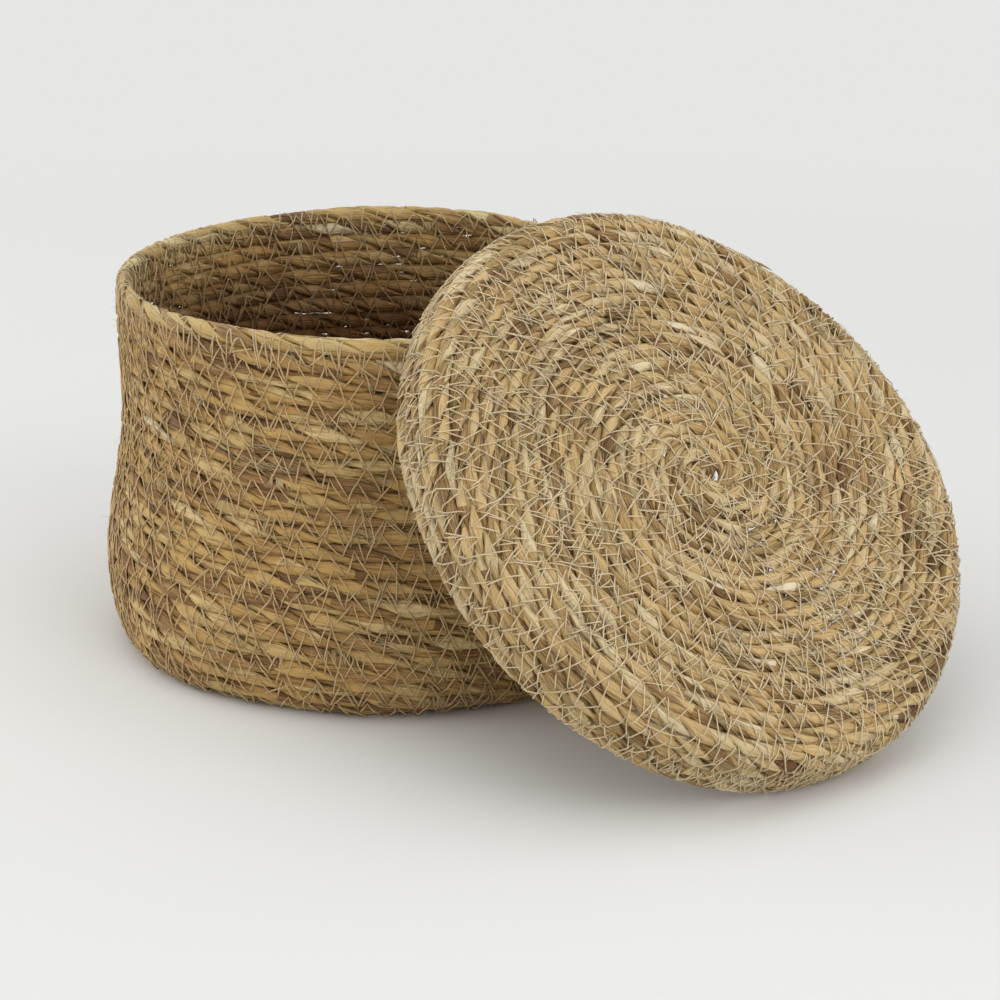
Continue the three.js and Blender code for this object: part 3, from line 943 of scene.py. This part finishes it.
# Hairs and split fibres, as far as each point is along them, and how thick they are there
FIBRE_RADIUS = 0.07 * MM
FIBRE_SIDES = 4
FIBRE_SHARES = np.array([0, 0.35, 0.7, 1.0])
HAIR_SIZES = np.array([1.0, 1.0, 0.8, 0.5])
HAIR_LENGTH = 1.1 * MM
HAIR_ROOT = 0.4 * MM
HAIR_CURL = 0.3
TUFT_SIZES = np.array([1.2, 1.6, 1.4, 0.5])
TUFT_LENGTHS = (3.5 * MM, 10 * MM)
TUFT_REACH = 4 * MM
TUFT_HEIGHT = 1.1 * MM

# The strip of leaf round a splice
WHIP_RADIUS = 0.6 * MM
WHIP_SIDES = 6
WHIP_STEPS = 12
WHIP_SPACING = 2.2
WHIP_STRAY = 0.2
WHIP_SINK = 0.1 * MM
WHIP_SQUEEZE = 0.5 * MM

# Tips of leaf, as the hairs. Like the splices, each reads its leaf from a place of its own, in metres.
LEAF_PLACES = 40
LEAF_END_THICKNESS = 0.3 * MM
LEAF_END_WIDTH = 2.2 * MM
LEAF_END_CORNERS = ((0.3, -1), (1, 0), (0.3, 1), (-0.7, 0))
LEAF_END_SHARES = np.array([0, 0.3, 0.6, 0.85, 1.0])
LEAF_END_SIZES = np.array([0.6, 1.0, 0.95, 0.6, 0.12])
LEAF_END_LENGTHS = (6 * MM, 16 * MM)
LEAF_END_RISE = 0.5 * MM
LEAF_END_ROOT = 0.55 * MM
LEAF_END_ARCH = 0.6 * MM


def stray_fibres(coil, start, end, per_metre, rng):
    """Hairs of broken leaf and thread that stand off the outer face."""
    count = int(per_metre * (end - start))
    spots = rng.uniform(start, end, count)
    along = coil.pitch * rng.uniform(-0.5, 0.5, count)
    middle, forward, across, outward, _ = coil.spot_frames(spots, along)
    length = rng.gamma(1.8, HAIR_LENGTH, count)[:, None]
    way = (rng.uniform(0.1, 0.7, count)[:, None] * outward + rng.uniform(-1, 1, count)[:, None] * forward
           + rng.uniform(-1, 1, count)[:, None] * across)
    way = way / np.linalg.norm(way, axis=1, keepdims=True)
    curl = HAIR_CURL * rng.normal(size=(count, 3))
    root = middle + (coil.surface - HAIR_ROOT) * outward
    share = FIBRE_SHARES[:, None]
    strands = []
    for k in range(count):
        points = coil.settle(root[k] + length[k] * (share * way[k] + share ** 2 * curl[k]), FIBRE_RADIUS)
        strands.append(Strand(points, size=HAIR_SIZES, start=rng.uniform(0, 1)))
    return strands


def tufts(coil, start, end, per_metre, rng):
    """Worn patches, where split fibres lie along the rope in a bunch."""
    strands = []
    share = FIBRE_SHARES[:, None]
    for spot in rng.uniform(start, end, int(per_metre * (end - start))):
        count = rng.integers(8, 22)
        spots = spot + TUFT_REACH * rng.normal(size=count)
        along = coil.pitch * rng.uniform(-0.1, 0.1) + TUFT_HEIGHT * rng.normal(size=count)
        middle, forward, across, outward, _ = coil.spot_frames(spots, along)
        slant = 0.35 + 0.25 * rng.normal(size=count)
        length = rng.uniform(*TUFT_LENGTHS, count) * rng.choice([-1, 1], count)
        for k in range(count):
            way = math.cos(slant[k]) * forward[k] - math.sin(slant[k]) * across[k]
            lift = coil.surface + (0.35 * np.sin(math.pi * share) + rng.uniform(-0.4, 0.7) * share) * MM
            points = coil.settle(middle[k] + length[k] * share * way + lift * outward[k], FIBRE_RADIUS)
            strands.append(Strand(points, size=TUFT_SIZES, start=rng.uniform(0, 1)))
    return strands


def whipping(coil, place, rng):
    """A splice in the rope, whipped with a narrow strip of leaf."""
    rounds = rng.integers(5, 12)
    angle = np.arange(0, TAU * rounds, TAU / WHIP_STEPS)
    spacing = WHIP_SPACING * WHIP_RADIUS * (1 + uneven(rng, angle, WHIP_STRAY, TAU))
    out = (coil.surface - WHIP_SINK) * np.cos(angle)
    side = (coil.radius - WHIP_SQUEEZE) * np.sin(angle)
    points = coil.points(place + spacing * angle / TAU, 0.0, out, side, WHIP_RADIUS)
    return Strand(points, start=rng.uniform(0, LEAF_PLACES))


def leaf_ends(coil, start, end, per_metre, rng):
    """Flat tips of leaf that lie along a ply and lift off the rope at their end."""
    count = int(per_metre * (end - start))
    spots = rng.uniform(start, end, count)
    along = coil.pitch * rng.uniform(-0.3, 0.3, count)
    middle, forward, across, outward, slope = coil.spot_frames(spots, along)
    length = rng.uniform(*LEAF_END_LENGTHS, count)
    slant = rng.normal(0.42, 0.12, count)
    sense = rng.choice([-1, 1], count)
    way = sense[:, None] * (np.cos(slant)[:, None] * forward - np.sin(slant)[:, None] * across)
    rise = rng.gamma(1.5, LEAF_END_RISE, count)
    share = LEAF_END_SHARES[:, None]
    arch = coil.surface - LEAF_END_ROOT + LEAF_END_ARCH * np.sin(math.pi * share)
    strands = []
    for k in range(count):
        lift = arch + rise[k] * share ** 3
        points = coil.settle(middle[k] + length[k] * share * way[k] + lift * outward[k], LEAF_END_WIDTH / 2)
        tilt = slope[k] + math.pi / 2 + 0.3 * rng.normal()
        size = LEAF_END_SIZES * rng.uniform(0.5, 1.1)
        strands.append(Strand(points, tilt, size, start=rng.uniform(0, LEAF_PLACES)))
    return strands


def fray(coil, first, hair, torn, hairs, tips, patches, splices):
    """Frays a coil from one turn on: hairs, leaf tips and worn patches per metre, and some splices."""
    rng = np.random.default_rng(31)
    start = coil.length_at(first)
    end = coil.length_at(coil.end - 2 * TAPER_TURNS)
    fibres = stray_fibres(coil, start, end, hairs, rng) + tufts(coil, start, end, patches, rng)
    leaves = leaf_ends(coil, start, end, tips, rng)
    whips = [whipping(coil, spot, rng) for spot in rng.uniform(start, end, splices)]
    leaf_end = scaled_corners(LEAF_END_CORNERS, LEAF_END_THICKNESS, LEAF_END_WIDTH)
    for name, strands, corners, twist, material in (
            ("fibres", fibres, round_corners(FIBRE_RADIUS, FIBRE_SIDES), "MINIMUM", hair),
            ("leaf_ends", leaves, leaf_end, "Z_UP", torn),
            ("splices", whips, round_corners(WHIP_RADIUS, WHIP_SIDES), "MINIMUM", torn)):
        make_piece(coil, f"{coil.body}_{name}", strands, corners, twist, material)


class FrayRope(bpy.types.Operator):
    """Leave the leaf tips and hairs that stand off the rope of the basket and of the lid"""

    bl_idname = "basket.fray"
    bl_label = "Fray the rope"

    def execute(self, context):
        sizes = context.scene.basket_sizes
        finish = context.scene.basket_finish
        hair = sewing_thread("loose basket fibre", finish.fibre, finish.inside)
        torn = seagrass("torn basket leaf", finish.torn_leaf, finish.bleached_leaf, finish.inside)
        coil = basket_coil(sizes)
        fray(coil, coil.flat_end, hair, torn, hairs=160, tips=9, patches=2, splices=22)
        hair = sewing_thread("loose lid fibre", finish.fibre, "")
        torn = seagrass("torn lid leaf", finish.torn_leaf, finish.bleached_leaf, "")
        coil = lid_coil(sizes)
        fray(coil, FIRST_TURN + TUCK_TURNS, hair, torn, hairs=130, tips=11, patches=9, splices=8)
        return {"FINISHED"}


# The floor, and the camera
FLOOR_RADIUS = 9.0
FLOOR_SEGMENTS = 64
CAMERA_PLACE = Vector((1.0004, -0.8574, 0.5))
CAMERA_AIM = Vector((-0.6957, 0.6440, -0.3181))
SENSOR = 36.0

# The ways over the floor to the camera's left and towards it, and what the lamps aim at
LEFT = Vector((-0.68, -0.73, 0))
FRONT = Vector((0.73, -0.68, 0))
UP = Vector((0, 0, 1))
LAMP_TARGET = Vector((0.06, 0, 0.08))

# The side from which more of the soft light comes, and how dim and bright it is away from there and there
SKY_SIDE = 0.2 * FRONT + 0.9 * UP
SKY_DIM = 0.6
SKY_BRIGHT = 1.4

# Soft lamps: how far to the left, in front and above their target, their share of the power and their width
SOFTBOXES = (
    ("left softbox", 1.9, -0.3, 0.8, 0.7, 2.0),
    ("right softbox", -1.4, 1.6, 1.0, 0.75, 2.0),
    ("top softbox", 0.0, 0.4, 2.2, 0.55, 2.4),
)


def lay_floor(scene, stage):
    """A wide round sheet of paper under the object."""
    shape = bmesh.new()
    bmesh.ops.create_circle(shape, cap_ends=True, segments=FLOOR_SEGMENTS, radius=FLOOR_RADIUS)
    mesh = bpy.data.meshes.new("floor")
    shape.to_mesh(mesh)
    shape.free()
    mesh.materials.append(studio_paper("seamless paper", stage.floor))
    floor = bpy.data.objects.new("floor", mesh)
    scene.collection.objects.link(floor)
    floor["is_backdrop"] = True


def light_studio(scene, stage):
    """Soft light from all round, which the camera sees as the floor's own tone, and three softboxes."""
    world = bpy.data.worlds.new("studio")
    world.use_nodes = True
    world.node_tree.nodes.clear()
    add = partial(add_node, world.node_tree)
    way = add("TexCoord").outputs["Generated"]
    facing = add("VectorMath", {0: way, 1: SKY_SIDE}, "DOT_PRODUCT")
    level = add("MapRange", {
        "Value": facing, "From Min": -1.0, "To Min": SKY_DIM * stage.sky, "To Max": SKY_BRIGHT * stage.sky})
    sky = add("Background", {"Color": (1, 1, 1, 1), "Strength": level})
    backdrop = add("Background", {"Color": linear(stage.floor)})
    shown = add("MixShader", {0: seen_or_mirrored(add), 1: sky, 2: backdrop})
    add("OutputWorld", {"Surface": shown})
    scene.world = world
    for name, left, front, up, share, width in SOFTBOXES:
        data = bpy.data.lights.new(name, "AREA")
        data.energy = share * stage.lamp
        data.size = width
        lamp = bpy.data.objects.new(name, data)
        lamp.location = LAMP_TARGET + left * LEFT + front * FRONT + up * UP
        lamp.rotation_euler = (LAMP_TARGET - lamp.location).to_track_quat("-Z", "Y").to_euler()
        scene.collection.objects.link(lamp)


def stand_camera(scene, stage):
    """The camera, where the view was taken from."""
    lens = bpy.data.cameras.new("camera")
    lens.lens = stage.lens
    lens.sensor_width = SENSOR
    camera = bpy.data.objects.new("camera", lens)
    camera.location = CAMERA_PLACE
    camera.rotation_euler = CAMERA_AIM.to_track_quat("-Z", "Y").to_euler()
    scene.collection.objects.link(camera)
    bpy.context.scene.camera = camera


class SetStage(bpy.types.Operator):
    """Lay the pale floor, light it softly and stand the camera where the view was taken from"""

    bl_idname = "basket.set_stage"
    bl_label = "Set the stage"

    def execute(self, context):
        scene = context.scene
        scene.view_settings.view_transform = "Standard"
        lay_floor(scene, scene.basket_stage)
        light_studio(scene, scene.basket_stage)
        stand_camera(scene, scene.basket_stage)
        return {"FINISHED"}


class BasketPanel(bpy.types.Panel):
    """The steps of making the basket, in order, under the sizes and colours that they read"""

    bl_idname = "VIEW3D_PT_basket"
    bl_label = "Coiled seagrass basket"
    bl_space_type = "VIEW_3D"
    bl_region_type = "UI"
    bl_category = "Basket"

    def draw(self, context):
        for name, group in SETTINGS.items():
            box = self.layout.box()
            for setting in group.__annotations__:
                box.prop(getattr(context.scene, name), setting)
        for step in STEPS:
            self.layout.operator(step.bl_idname)


SETTINGS = {"basket_sizes": RopeSettings, "basket_finish": FinishSettings, "basket_stage": StageSettings}
STEPS = (SetStage, CoilRopes, SewTurns, FrayRope)


def register():
    for name, group in SETTINGS.items():
        bpy.utils.register_class(group)
        setattr(bpy.types.Scene, name, PointerProperty(type=group))
    for thing in (*STEPS, BasketPanel):
        bpy.utils.register_class(thing)


def unregister():
    for thing in (BasketPanel, *reversed(STEPS)):
        bpy.utils.unregister_class(thing)
    for name, group in SETTINGS.items():
        delattr(bpy.types.Scene, name)
        bpy.utils.unregister_class(group)


def main():
    register()
    bpy.ops.basket.set_stage()
    bpy.ops.basket.coil_ropes()
    bpy.ops.basket.sew_turns()
    bpy.ops.basket.fray()
    boxes = {"cad": CAD_BOX, "visual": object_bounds()}
    {name: [list(corner) for corner in box] for name, box in boxes.items()}


if __name__ == "__main__":
    main()
